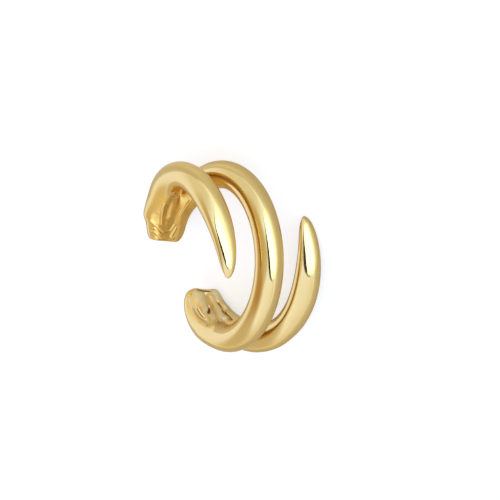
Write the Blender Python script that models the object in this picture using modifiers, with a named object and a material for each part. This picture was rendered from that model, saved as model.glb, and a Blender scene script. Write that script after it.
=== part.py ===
"""An ear cuff cast in one piece: two claws and a middle band that wind round one ring.

The ring's axis is Z while the cuff is modelled, its front is at -Y and the slot for the ear is
at +Y. Turns are measured from the front towards +X. The cuff looks the same after half a turn
about the Y axis, which swaps the two claws. At the end it is laid down on its side.
"""

import math
from collections import namedtuple

import bmesh
import bpy
from mathutils import Matrix, Vector

MM = 0.001

# The ring that all three strands follow, and the slot between the two terminals
RING_RADIUS = 5.46 * MM
WIRE_RADIUS = 0.965 * MM
EAR_SLOT = 3.2 * MM
TERMINAL_LENGTH = 3.9 * MM
CLAW_PAST_FRONT = 2.05 * MM

# How far the band climbs off the ring's middle plane and the claws stand clear of the band
BAND_RISE = 0.73 * MM
BAND_CREST_TURN = math.radians(112)
CLAW_GAP = 1.37 * MM

# The turns at which a terminal ends, its two strands part and a claw's sections stop
TERMINAL_TURN = math.pi - math.asin(0.5 * EAR_SLOT / RING_RADIUS)
CROTCH_TURN = TERMINAL_TURN - TERMINAL_LENGTH / RING_RADIUS
TIP_TURN = -CLAW_PAST_FRONT / RING_RADIUS

# Relief on the inner faces of the terminals
RELIEF_HEIGHT = 0.12 * MM
RELIEF_WIDTH = 0.20 * MM

# Fineness of the mesh, and the columns of a section that face up and down
SIDES = 8
UP = 0
DOWN = SIDES // 2
FINENESS = 1
RELIEF_CUTS = 1
BAND_STEPS = 10

# Sections of a strand. The reach is a share of RING_RADIUS. The width and the two depths,
# outwards and inwards, are half sizes in shares of WIRE_RADIUS. The lean draws the free flank of
# a terminal in towards its inner face, as a share of the width. The stand places the strand:
# - on a free claw it is the clear gap to the band in shares of CLAW_GAP
# - on a terminal's claw it is the distance between the two strands in shares of WIRE_RADIUS
# - on a terminal's band it is a share of the band's own height
Section = namedtuple("Section", "turn stand reach width outward inward lean", defaults=(0.0,))

# A claw from the crotch (turn 0) to the tip (turn 1), and the point beyond it
CLAW = (
    Section(0.10, 0.40, 0.978, 1.13, 1.13, 1.13),
    Section(0.22, 0.64, 0.952, 1.03, 1.03, 1.03),
    Section(0.35, 0.84, 0.932, 0.95, 0.95, 0.95),
    Section(0.48, 0.95, 0.918, 0.97, 0.97, 0.97),
    Section(0.61, 1.00, 0.917, 0.97, 0.97, 0.97),
    Section(0.73, 1.00, 0.934, 0.92, 0.92, 0.92),
    Section(0.83, 0.99, 0.962, 0.80, 0.80, 0.80),
    Section(0.91, 0.97, 0.990, 0.66, 0.66, 0.66),
    Section(0.97, 0.96, 1.012, 0.49, 0.49, 0.49),
    Section(1.00, 0.95, 1.026, 0.27, 0.27, 0.27),
)
CLAW_POINT = Section(1.025, 0.95, 1.036, 0.0, 0.0, 0.0)

# The two strands of a terminal from the crotch (turn 0) to the blunt end (turn 1)
TERMINAL_CLAW = (
    Section(0.00, 2.29, 0.988, 1.12, 1.12, 1.04, 0.00),
    Section(0.24, 2.10, 0.998, 1.10, 1.07, 0.90, 0.14),
    Section(0.48, 1.96, 1.006, 1.10, 1.04, 0.78, 0.28),
    Section(0.64, 1.90, 1.010, 1.12, 1.00, 0.70, 0.34),
    Section(0.71, 1.83, 1.008, 0.76, 0.84, 0.66, 0.24),
    Section(0.86, 1.75, 1.006, 0.62, 0.76, 0.64, 0.22),
    Section(0.97, 1.61, 1.004, 0.45, 0.64, 0.52, 0.18),
    Section(1.00, 1.47, 1.002, 0.30, 0.48, 0.38, 0.10),
)
TERMINAL_BAND = (
    Section(0.00, 0.99, 1.002, 1.06, 1.08, 0.95, 0.10),
    Section(0.24, 1.02, 1.010, 1.12, 1.10, 0.82, 0.40),
    Section(0.48, 1.08, 1.016, 1.13, 1.04, 0.72, 0.54),
    Section(0.64, 1.12, 1.016, 1.06, 0.96, 0.66, 0.50),
    Section(0.71, 1.12, 1.014, 0.98, 0.88, 0.60, 0.44),
    Section(0.86, 1.16, 1.010, 0.78, 0.72, 0.52, 0.28),
    Section(0.97, 1.36, 1.006, 0.52, 0.56, 0.42, 0.20),
    Section(1.00, 1.56, 1.004, 0.30, 0.42, 0.32, 0.10),
)
PLAIN_BAND = Section(0.0, 1.0, 1.0, 1.0, 1.0, 1.0)

# Strokes of the cast relief on a terminal's inner face, ridges with a height above 0 and grooves
# below it. They run from one place to another, given along the terminal, 0 at the crotch and 1
# at the end, and across it, in shares of WIRE_RADIUS from the seam towards the claw. The width
# and the height are shares of RELIEF_WIDTH and RELIEF_HEIGHT.
Stroke = namedtuple("Stroke", "along across along_to across_to width height")

UPPER_RELIEF = (
    Stroke(0.14, 1.32, 0.60, 0.90, 1.1, 1.0),
    Stroke(0.30, 1.60, 0.68, 1.15, 1.2, -0.8),
    Stroke(-0.25, 1.15, 0.45, 0.62, 2.0, -0.8),
    Stroke(-0.05, -0.70, 0.45, -0.55, 0.9, 0.9),
    Stroke(0.65, 1.42, 0.80, 0.47, 1.1, 1.0),
    Stroke(0.68, -0.40, 0.87, 0.23, 1.1, 1.0),
    Stroke(0.82, 1.15, 0.94, 0.50, 0.9, 0.8),
    Stroke(0.94, 0.50, 0.92, -0.45, 0.9, 0.8),
)
LOWER_RELIEF = (
    Stroke(0.85, -1.42, 0.34, -1.52, 0.9, -1.0),
    Stroke(0.34, -1.52, -0.12, -1.80, 0.9, -0.8),
    Stroke(0.50, -1.25, 0.12, -1.45, 0.9, 0.9),
    Stroke(0.90, -0.85, 0.45, -0.95, 2.0, 0.6),
    Stroke(0.38, -1.05, 0.34, -0.65, 0.9, -1.2),
    Stroke(0.88, -0.30, 0.50, -0.18, 0.9, -0.8),
    Stroke(0.50, -0.18, -0.10, -0.75, 0.9, -0.6),
    Stroke(0.62, 0.15, 0.10, 0.10, 1.1, 0.7),
    Stroke(0.65, 0.45, 0.28, 0.50, 0.9, -1.0),
    Stroke(0.28, 0.50, 0.02, 0.45, 0.9, -0.8),
)

# The relief lies between these places along a terminal. On the flanks it fades out: it starts
# where the surface faces the ring's axis by FLANK_FACING and is full by FLANK_FADE further.
RELIEF_START = -0.5
RELIEF_STOP = 0.98
FLANK_FACING = 0.25
FLANK_FADE = 0.25

# The flat of a blunt end is drawn in towards its middle by these shares
END_INSETS = (0.72, 0.40)

# The side that the cuff lies on faces down by at least this much
LYING_SIDE = 0.5

GOLD = (0.83, 0.60, 0.25, 1.0)
GOLD_ROUGHNESS = 0.16


def cage_swell(step):
    """The factor by which a cage point stands outside the round that it is smoothed to."""
    return 6 / (4 + 2 * math.cos(step))


def radial(turn):
    """The unit vector from the ring's axis outwards at a turn."""
    return Vector((math.sin(turn), -math.cos(turn), 0.0))


def half_turned(point):
    """A point turned half round about Y, which swaps the upper and the lower side."""
    return Vector((-point.x, point.y, -point.z))


def band_height(turn):
    """The height of the band's centreline at a turn."""
    return BAND_RISE * math.sin(0.5 * math.pi * turn / BAND_CREST_TURN)


def claw_turn(section):
    """The turn of a free claw's section."""
    return CROTCH_TURN + section.turn * (TIP_TURN - CROTCH_TURN)


def claw_height(section):
    """The height of a free claw's centreline at a section."""
    return band_height(claw_turn(section)) + 2 * WIRE_RADIUS + CLAW_GAP * section.stand


def terminal_turn(section):
    """The turn of a terminal's section."""
    return CROTCH_TURN + section.turn * (TERMINAL_TURN - CROTCH_TURN)


def terminal_heights(claw, band):
    """The heights of the claw's and the band's centrelines at a terminal's section."""
    height = band_height(terminal_turn(band)) * band.stand
    return height + WIRE_RADIUS * claw.stand, height


def section_point(turn, height, reach, section, column, free_side=1):
    """A cage point of a strand's section: column 0 is up, 2 outwards, 4 down and 6 inwards."""
    angle = 2 * math.pi * column / SIDES
    swell = cage_swell(2 * math.pi / SIDES) * WIRE_RADIUS
    sideways = swell * section.width * math.cos(angle)
    if free_side * sideways > 0:
        sideways *= (1 + section.lean * math.sin(angle)) / (1 + section.lean)
    depth = section.outward if math.sin(angle) > 0 else section.inward
    distance = RING_RADIUS * reach + swell * depth * math.sin(angle)
    return radial(turn) * distance + Vector((0, 0, height + sideways))


def add_ring(bm, points, lower):
    """Adds points by their column, turned half round where they belong to the lower side."""
    return {
        column: bm.verts.new(half_turned(point) if lower else point)
        for column, point in points.items()
    }


def whole_ring(bm, turn, height, reach, section, lower=False):
    """All the columns of a round section."""
    points = {
        column: section_point(turn, height, reach, section, column) for column in range(SIDES)
    }
    return add_ring(bm, points, lower)


def join_rings(bm, first, second, pairs):
    """Four-sided faces between two rings, one for each pair of neighbouring columns."""
    for low, high in pairs:
        bm.faces.new((first[low], first[high], second[high], second[low]))


def neighbours(first, last):
    """Pairs of neighbouring columns from one column up to another, going on past 0."""
    count = (last - first) % SIDES or SIDES
    return [((first + step) % SIDES, (first + step + 1) % SIDES) for step in range(count)]


def terminal_rings(bm, claw, band, lower):
    """The two strands' rings at a terminal's section, without the columns that face each other."""
    turn = terminal_turn(claw)
    swell = cage_swell((TERMINAL_TURN - CROTCH_TURN) / len(TERMINAL_CLAW))
    heights = terminal_heights(claw, band)
    claw_points = {
        column: section_point(turn, heights[0], swell * claw.reach, claw, column, 1)
        for column in range(SIDES)
        if column != DOWN
    }
    band_points = {
        column: section_point(turn, heights[1], swell * band.reach, band, column, -1)
        for column in range(SIDES)
        if column != UP
    }
    return add_ring(bm, claw_points, lower), add_ring(bm, band_points, lower)


def add_terminal(bm, lower):
    """One fused terminal. Gives the claw's and the band's whole rings at the crotch."""
    rings = [
        terminal_rings(bm, claw, band, lower) for claw, band in zip(TERMINAL_CLAW, TERMINAL_BAND)
    ]
    crotch_claw, crotch_band = rings[0]
    crotch_middle = radial(CROTCH_TURN) * RING_RADIUS
    crotch_middle.z = 0.5 * sum(terminal_heights(TERMINAL_CLAW[0], TERMINAL_BAND[0]))
    saddle = add_ring(bm, {DOWN: crotch_middle}, lower)[DOWN]
    crotch_claw[DOWN] = saddle
    crotch_band[UP] = saddle
    for (claw, band), (claw_next, band_next) in zip(rings, rings[1:]):
        join_rings(bm, claw, claw_next, neighbours(DOWN + 1, DOWN - 1))
        join_rings(bm, band, band_next, neighbours(UP + 1, UP - 1))
        middle = [saddle] if claw is crotch_claw else []
        outside = (band[UP + 1], band_next[UP + 1], claw_next[DOWN - 1])
        inside = (claw[DOWN + 1], claw_next[DOWN + 1], band_next[SIDES - 1])
        bm.faces.new((claw[DOWN - 1], *middle, *outside))
        bm.faces.new((band[SIDES - 1], *middle, *inside))
    close_end(bm, *rings[-1])
    return rings[0]


def close_end(bm, claw, band):
    """The flat end of a terminal, drawn in ring by ring so that its middle stays flat."""
    rim = [claw[low] for low, _ in neighbours(DOWN + 1, DOWN)]
    rim += [band[low] for low, _ in neighbours(UP + 1, UP)]
    middle = sum((vert.co for vert in rim), Vector()) / len(rim)
    outer = rim
    for inset in END_INSETS:
        inner = [bm.verts.new(middle.lerp(vert.co, inset)) for vert in rim]
        for index in range(len(rim)):
            after = (index + 1) % len(rim)
            bm.faces.new((outer[index], outer[after], inner[after], inner[index]))
        outer = inner
    for index in range(len(outer) // 2 - 1):
        bm.faces.new((outer[index], outer[index + 1], outer[-index - 2], outer[-index - 1]))


def add_claw(bm, crotch_ring, lower):
    """A claw from the crotch to its point."""
    previous = crotch_ring
    swell = cage_swell((CROTCH_TURN - TIP_TURN) / len(CLAW))
    for section in CLAW:
        ring = whole_ring(
            bm, claw_turn(section), claw_height(section), swell * section.reach, section, lower
        )
        join_rings(bm, previous, ring, neighbours(UP, UP))
        previous = ring
    point = section_point(
        claw_turn(CLAW_POINT), claw_height(CLAW_POINT), CLAW_POINT.reach, CLAW_POINT, UP
    )
    tip = add_ring(bm, {UP: point}, lower)[UP]
    for low, high in neighbours(UP, UP):
        bm.faces.new((previous[low], previous[high], tip))


def add_band(bm, upper_ring, lower_ring):
    """The middle band from the upper crotch round the front to the lower one."""
    step = 2 * CROTCH_TURN / BAND_STEPS
    previous = upper_ring
    for index in range(1, BAND_STEPS):
        turn = CROTCH_TURN - index * step
        ring = whole_ring(bm, turn, band_height(turn), cage_swell(step), PLAIN_BAND)
        join_rings(bm, previous, ring, neighbours(UP, UP))
        previous = ring
    # Turned half round, the lower terminal's columns run from down to up
    last = {column: lower_ring[(DOWN - column) % SIDES] for column in range(SIDES)}
    join_rings(bm, previous, last, neighbours(UP, UP))


def cuff_cage():
    """The coarse closed cage of the whole cuff."""
    bm = bmesh.new()
    upper_claw, upper_band = add_terminal(bm, False)
    lower_claw, lower_band = add_terminal(bm, True)
    add_claw(bm, upper_claw, False)
    add_claw(bm, lower_claw, True)
    add_band(bm, upper_band, lower_band)
    bmesh.ops.recalc_face_normals(bm, faces=bm.faces)
    return bm


def smooth_copy(name, cage, levels):
    """A mesh of the cage smoothed by Subdivision Surface."""
    cage_mesh = bpy.data.meshes.new(name + "_cage")
    cage.to_mesh(cage_mesh)
    cage_object = bpy.data.objects.new(name + "_cage", cage_mesh)
    bpy.context.scene.collection.objects.link(cage_object)
    smoothing = cage_object.modifiers.new("Smooth", "SUBSURF")
    smoothing.levels = levels
    smoothing.render_levels = levels
    graph = bpy.context.evaluated_depsgraph_get()
    mesh = bpy.data.meshes.new_from_object(cage_object.evaluated_get(graph))
    mesh.name = name
    bpy.data.objects.remove(cage_object)
    bpy.data.meshes.remove(cage_mesh)
    return mesh


def terminal_place(point):
    """Where a point lies along a terminal, across it from the seam, and on which one."""
    turn = math.atan2(point.x, -point.y)
    side = 1 if turn > 0 else -1
    along = (abs(turn) - CROTCH_TURN) / (TERMINAL_TURN - CROTCH_TURN)
    share = min(max(along, 0.0), 1.0)
    crotch_seam = 0.5 * sum(terminal_heights(TERMINAL_CLAW[0], TERMINAL_BAND[0]))
    end_seam = 0.5 * sum(terminal_heights(TERMINAL_CLAW[-1], TERMINAL_BAND[-1]))
    seam = crotch_seam + share * (end_seam - crotch_seam)
    return along, side * point.z - seam, side


def inward_share(point, normal):
    """1 where a surface faces the ring's axis squarely, falling to 0 on its flanks."""
    turn = math.atan2(point.x, -point.y)
    share = min(max((-normal.dot(radial(turn)) - FLANK_FACING) / FLANK_FADE, 0.0), 1.0)
    return share * share * (3 - 2 * share)


def stroke_lift(stroke, along, across):
    """How far a stroke of the relief lifts the surface at a place on the terminal."""
    length = (TERMINAL_TURN - CROTCH_TURN) * RING_RADIUS
    start = Vector((stroke.along * length, stroke.across * WIRE_RADIUS))
    end = Vector((stroke.along_to * length, stroke.across_to * WIRE_RADIUS))
    place = Vector((along * length, across))
    share = (place - start).dot(end - start) / (end - start).length_squared
    nearest = start.lerp(end, min(max(share, 0.0), 1.0))
    away = (place - nearest).length / (stroke.width * RELIEF_WIDTH)
    return stroke.height * RELIEF_HEIGHT * max(0.0, 1 - away * away) ** 2


def add_relief(mesh, cuts=RELIEF_CUTS):
    """Cuts the inner faces of the terminals finer and raises the cast relief on them."""
    bm = bmesh.new()
    bm.from_mesh(mesh)
    bm.normal_update()
    edges = set()
    for face in bm.faces:
        centre = face.calc_center_median()
        along = terminal_place(centre)[0]
        if RELIEF_START < along < RELIEF_STOP and inward_share(centre, face.normal) > 0:
            edges.update(face.edges)
    if cuts:
        bmesh.ops.subdivide_edges(bm, edges=list(edges), cuts=cuts, use_grid_fill=True)
    bm.normal_update()
    moves = []
    for vert in bm.verts:
        along, across, side = terminal_place(vert.co)
        if not RELIEF_START < along < RELIEF_STOP:
            continue
        strokes = UPPER_RELIEF if side > 0 else LOWER_RELIEF
        lifts = [stroke_lift(stroke, along, across) for stroke in strokes]
        lift = max(0.0, max(lifts)) + min(0.0, min(lifts))
        moves.append((vert, vert.normal * (lift * inward_share(vert.co, vert.normal))))
    for vert, move in moves:
        vert.co += move
    bm.to_mesh(mesh)
    bm.free()


def centre_of_mass(bm):
    """The centre of the solid inside a closed mesh, summed over its triangles."""
    volume = 0.0
    moment = Vector()
    for loops in bm.calc_loop_triangles():
        a, b, c = (loop.vert.co for loop in loops)
        part = a.dot(b.cross(c)) / 6
        volume += part
        moment += (a + b + c) * (part / 4)
    return moment / volume


def resting_turn(bm):
    """The rotation that lays the cuff on its lower claw's side, as it rests by itself."""
    centre = centre_of_mass(bm)
    hull = bm.copy()
    made = bmesh.ops.convex_hull(hull, input=hull.verts)
    facets = [part for part in made["geom"] if isinstance(part, bmesh.types.BMFace)]
    best = None
    for facet in facets:
        corners = [vert.co for vert in facet.verts]
        normal = (corners[1] - corners[0]).cross(corners[2] - corners[0]).normalized()
        lift = (corners[0] - centre).dot(normal)
        if lift < 0:
            normal = -normal
            lift = -lift
        if -normal.z > LYING_SIDE and (best is None or lift < best[0]):
            best = (lift, normal.copy())
    hull.free()
    return best[1].rotation_difference(Vector((0, 0, -1))).to_matrix().to_4x4()


def lay_down(mesh):
    """Turns the mesh to its resting place, with the middle of its box's underside at the origin."""
    bm = bmesh.new()
    bm.from_mesh(mesh)
    bm.transform(resting_turn(bm))
    lows = [min(vert.co[axis] for vert in bm.verts) for axis in range(3)]
    highs = [max(vert.co[axis] for vert in bm.verts) for axis in range(3)]
    stand = Vector((0.5 * (lows[0] + highs[0]), 0.5 * (lows[1] + highs[1]), lows[2]))
    bm.transform(Matrix.Translation(-stand))
    bm.to_mesh(mesh)
    bm.free()


def gold_material():
    """The plain polished gold of the cuff."""
    material = bpy.data.materials.new("polished_gold")
    material.use_nodes = True
    shader = material.node_tree.nodes["Principled BSDF"]
    shader.inputs["Base Color"].default_value = GOLD
    shader.inputs["Metallic"].default_value = 1.0
    shader.inputs["Roughness"].default_value = GOLD_ROUGHNESS
    return material


def clear_scene():
    """Removes every object that the scene starts with."""
    for obj in list(bpy.data.objects):
        bpy.data.objects.remove(obj)


def main():
    clear_scene()
    cage = cuff_cage()
    mesh = smooth_copy("cuff", cage, FINENESS)
    cage.free()
    add_relief(mesh)
    lay_down(mesh)
    mesh.shade_smooth()
    mesh.materials.append(gold_material())
    collection = bpy.data.collections.new("ear_cuff")
    bpy.context.scene.collection.children.link(collection)
    collection.objects.link(bpy.data.objects.new("cuff", mesh))


main()
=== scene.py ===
"""A polished gold ear cuff lying on its side on a pale floor in soft studio light."""

import logging
import math
from bisect import bisect_left
from dataclasses import dataclass, field
from enum import Enum
from typing import Any

import bmesh
import bpy
from mathutils import Matrix, Vector


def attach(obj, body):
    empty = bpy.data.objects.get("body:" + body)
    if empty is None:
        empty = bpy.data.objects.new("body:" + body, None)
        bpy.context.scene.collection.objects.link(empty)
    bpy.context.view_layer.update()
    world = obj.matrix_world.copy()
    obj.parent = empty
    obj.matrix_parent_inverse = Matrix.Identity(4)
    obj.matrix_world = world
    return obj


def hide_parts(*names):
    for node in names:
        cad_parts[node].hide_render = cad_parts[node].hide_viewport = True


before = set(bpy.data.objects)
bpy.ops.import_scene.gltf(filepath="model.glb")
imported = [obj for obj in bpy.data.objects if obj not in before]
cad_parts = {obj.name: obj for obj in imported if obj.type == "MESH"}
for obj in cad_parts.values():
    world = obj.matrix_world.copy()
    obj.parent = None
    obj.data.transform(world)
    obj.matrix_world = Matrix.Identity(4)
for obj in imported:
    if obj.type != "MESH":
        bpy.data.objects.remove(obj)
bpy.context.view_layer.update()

MM = 0.001

log = logging.getLogger("ear_cuff")

Colour = tuple[float, ...]

BLACK: Colour = (0.0, 0.0, 0.0, 1.0)


class Side(Enum):
    """The two halves of the cuff, half a turn about Y apart."""

    UPPER = 1
    LOWER = -1


class Column(Enum):
    """The columns of a section that face along the ring's axis."""

    UP = 0
    DOWN = 4


@dataclass(frozen=True)
class Section:
    """A cross-section of a strand, in shares of the ring's sizes.

    The turn is a share of the way round from the crotch to the claw's tip or the terminal's end.
    The reach is a share of the ring's radius. The width and the two depths, outwards and inwards,
    are half sizes in shares of the wire's radius. The lean draws a terminal's free flank in
    towards its inner face. The stand is the clear gap to the band on a free claw, the distance
    between the two strands on a terminal's claw, and a share of the band's own height on a
    terminal's band.
    """

    turn: float
    stand: float
    reach: float
    width: float
    outward: float
    inward: float
    lean: float = 0.0


@dataclass(frozen=True)
class Stroke:
    """A ridge, or a groove where its height is below 0, in the relief of a terminal's inner face.

    It runs from one place to another, each given along the terminal, 0 at the crotch and 1 at the
    end, and across it, in shares of the wire's radius from the seam towards the claw. The width
    and the height are shares of the relief's own.
    """

    along: float
    across: float
    along_to: float
    across_to: float
    width: float
    height: float


# A claw from the crotch to the tip, and the point beyond it
CLAW = (
    Section(0.10, 0.40, 0.978, 1.13, 1.13, 1.13),
    Section(0.22, 0.64, 0.952, 1.03, 1.03, 1.03),
    Section(0.35, 0.84, 0.932, 0.95, 0.95, 0.95),
    Section(0.48, 0.95, 0.918, 0.97, 0.97, 0.97),
    Section(0.61, 1.00, 0.917, 0.97, 0.97, 0.97),
    Section(0.73, 1.00, 0.934, 0.92, 0.92, 0.92),
    Section(0.83, 0.99, 0.962, 0.80, 0.80, 0.80),
    Section(0.91, 0.97, 0.990, 0.66, 0.66, 0.66),
    Section(0.97, 0.96, 1.012, 0.49, 0.49, 0.49),
    Section(1.00, 0.95, 1.026, 0.27, 0.27, 0.27),
)
CLAW_POINT = Section(1.025, 0.95, 1.036, 0.0, 0.0, 0.0)

# The two strands of a terminal from the crotch to the blunt end
TERMINAL_CLAW = (
    Section(0.00, 2.29, 0.988, 1.12, 1.12, 1.04, 0.00),
    Section(0.24, 2.10, 0.998, 1.10, 1.07, 0.90, 0.14),
    Section(0.48, 1.96, 1.006, 1.10, 1.04, 0.78, 0.28),
    Section(0.64, 1.90, 1.010, 1.12, 1.00, 0.70, 0.34),
    Section(0.71, 1.83, 1.008, 0.76, 0.84, 0.66, 0.24),
    Section(0.86, 1.75, 1.006, 0.62, 0.76, 0.64, 0.22),
    Section(0.97, 1.61, 1.004, 0.45, 0.64, 0.52, 0.18),
    Section(1.00, 1.47, 1.002, 0.30, 0.48, 0.38, 0.10),
)
TERMINAL_BAND = (
    Section(0.00, 0.99, 1.002, 1.06, 1.08, 0.95, 0.10),
    Section(0.24, 1.02, 1.010, 1.12, 1.10, 0.82, 0.40),
    Section(0.48, 1.08, 1.016, 1.13, 1.04, 0.72, 0.54),
    Section(0.64, 1.12, 1.016, 1.06, 0.96, 0.66, 0.50),
    Section(0.71, 1.12, 1.014, 0.98, 0.88, 0.60, 0.44),
    Section(0.86, 1.16, 1.010, 0.78, 0.72, 0.52, 0.28),
    Section(0.97, 1.36, 1.006, 0.52, 0.56, 0.42, 0.20),
    Section(1.00, 1.56, 1.004, 0.30, 0.42, 0.32, 0.10),
)
PLAIN_BAND = Section(0.0, 1.0, 1.0, 1.0, 1.0, 1.0)

# The relief on the two terminals' inner faces
UPPER_RELIEF = (
    Stroke(0.10, 1.36, 0.64, 0.84, 0.8, 1.3),
    Stroke(0.46, 1.40, 0.58, 1.34, 1.3, -0.45),
    Stroke(-0.25, 1.15, 0.45, 0.62, 2.0, -0.8),
    Stroke(0.20, -1.00, 0.60, -1.05, 1.6, -0.4),
    Stroke(0.10, 0.45, 0.72, 0.05, 2.2, 0.5),
    Stroke(-0.06, -0.63, 0.42, -0.55, 0.6, 0.9),
    Stroke(0.63, 1.52, 0.70, 1.08, 0.9, 0.9),
    Stroke(0.70, 1.08, 0.80, 0.45, 0.9, 0.9),
    Stroke(0.80, 0.45, 0.78, -0.15, 0.7, 0.8),
    Stroke(0.78, -0.15, 0.66, -0.36, 0.7, 0.8),
    Stroke(0.75, 1.20, 0.87, 0.62, 0.6, 0.8),
    Stroke(0.82, 1.15, 0.93, 0.50, 0.8, 0.9),
    Stroke(0.93, 0.50, 0.92, -0.50, 0.8, 0.9),
    Stroke(0.91, -0.30, 0.73, -0.53, 0.6, 0.7),
)
LOWER_RELIEF = (
    Stroke(0.85, -1.39, 0.57, -1.48, 0.8, -0.8),
    Stroke(0.57, -1.48, 0.12, -1.67, 0.7, -1.0),
    Stroke(0.12, -1.67, -0.15, -1.87, 0.7, -0.9),
    Stroke(0.50, -1.30, 0.12, -1.53, 0.6, 1.0),
    Stroke(0.84, -0.60, 0.45, -0.90, 2.3, 0.9),
    Stroke(0.54, -0.42, 0.42, -0.62, 0.8, -1.8),
    Stroke(0.42, -0.62, 0.28, -1.00, 0.8, -1.4),
    Stroke(0.15, -1.05, -0.35, -1.75, 2.0, 0.7),
    Stroke(0.96, -0.70, 0.95, 0.30, 0.6, -1.3),
    Stroke(0.88, -0.15, 0.62, -0.07, 0.7, -0.9),
    Stroke(0.62, -0.07, 0.17, -0.45, 0.7, -0.9),
    Stroke(0.17, -0.45, -0.40, -1.45, 0.7, -0.7),
    Stroke(0.80, 0.15, 0.20, 0.02, 1.8, 0.8),
    Stroke(0.66, 0.45, 0.41, 0.57, 0.6, -1.5),
    Stroke(0.43, 0.50, 0.25, 0.40, 0.8, -1.7),
    Stroke(0.26, 0.46, 0.04, 0.34, 0.6, -1.5),
    Stroke(0.72, 0.68, 0.50, 0.85, 1.0, 0.6),
)

Loop = dict[int, bmesh.types.BMVert]


def radial(turn: float) -> Vector:
    """The unit vector from the ring's axis outwards at a turn from the front."""
    return Vector((math.sin(turn), -math.cos(turn), 0.0))


def turn_of(point: Vector) -> float:
    """The turn from the front at which a point lies."""
    return math.atan2(point.x, -point.y)


def smooth_share(value: float, start: float, fade: float) -> float:
    """A share that rises smoothly from 0 to 1.

    Args:
        value: the value to judge.
        start: the value at which the share leaves 0.
        fade: how much further it reaches 1.

    Returns:
        The share.
    """
    share = min(max((value - start) / fade, 0.0), 1.0)
    return share * share * (3 - 2 * share)


def direction(azimuth: float, elevation: float) -> Vector:
    """The unit vector towards an azimuth and an elevation.

    Args:
        azimuth: degrees from +X towards +Y.
        elevation: degrees above the floor.

    Returns:
        The vector.
    """
    around, rise = math.radians(azimuth), math.radians(elevation)
    return Vector(
        (math.cos(rise) * math.cos(around), math.cos(rise) * math.sin(around), math.sin(rise))
    )


@dataclass(frozen=True)
class Ring:
    """The round that all three strands follow, modelled with its axis along Z."""

    radius: float = 5.46 * MM
    wire_radius: float = 0.965 * MM
    ear_slot: float = 3.2 * MM
    terminal_length: float = 3.9 * MM
    claw_past_front: float = 2.05 * MM
    band_rise: float = 0.73 * MM
    band_crest_turn: float = math.radians(112)
    claw_gap: float = 1.37 * MM
    claw_steps: int = 16

    @property
    def terminal_turn(self) -> float:
        """The turn at which a terminal ends."""
        return math.pi - math.asin(0.5 * self.ear_slot / self.radius)

    @property
    def crotch_turn(self) -> float:
        """The turn at which a terminal parts into a claw and the band."""
        return self.terminal_turn - self.terminal_length / self.radius

    @property
    def tip_turn(self) -> float:
        """The turn at which a claw's sections stop."""
        return -self.claw_past_front / self.radius

    def band_height(self, turn: float) -> float:
        """The height of the band's centreline at a turn."""
        return self.band_rise * math.sin(0.5 * math.pi * turn / self.band_crest_turn)

    def claw_turn(self, section: Section) -> float:
        """The turn of a free claw's section."""
        return self.crotch_turn + section.turn * (self.tip_turn - self.crotch_turn)

    def claw_height(self, section: Section) -> float:
        """The height of a free claw's centreline at a section."""
        band = self.band_height(self.claw_turn(section))
        return band + 2 * self.wire_radius + self.claw_gap * section.stand

    def claw_sections(self) -> list[Section]:
        """The sections of a free claw, close together and smooth from each to the next.

        Returns:
            The sections, as Subdivision Surface rounds them off, with claw_steps of them for each
            of the table's own.
        """
        rows = (CLAW[0], *CLAW, CLAW_POINT, CLAW_POINT)
        sections = []
        for first in range(len(rows) - 3):
            for step in range(self.claw_steps):
                part = step / self.claw_steps
                # The four weights of a cubic B-spline, which add up to 6
                shares = (
                    (1 - part) ** 3,
                    3 * part ** 3 - 6 * part ** 2 + 4,
                    3 * (part + part ** 2 - part ** 3) + 1,
                    part ** 3,
                )
                sections.append(Section(*(
                    sum(share * getattr(row, name) for share, row in zip(shares, rows[first:])) / 6
                    for name in ("turn", "stand", "reach", "width", "outward", "inward")
                )))
        return sections

    def end_turn(self, section: Section) -> float:
        """The turn of a terminal's section."""
        return self.crotch_turn + section.turn * (self.terminal_turn - self.crotch_turn)

    def end_heights(self, claw: Section, band: Section) -> tuple[float, float]:
        """The heights of the claw's and the band's centrelines at a terminal's section."""
        height = self.band_height(self.end_turn(band)) * band.stand
        return height + self.wire_radius * claw.stand, height


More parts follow.
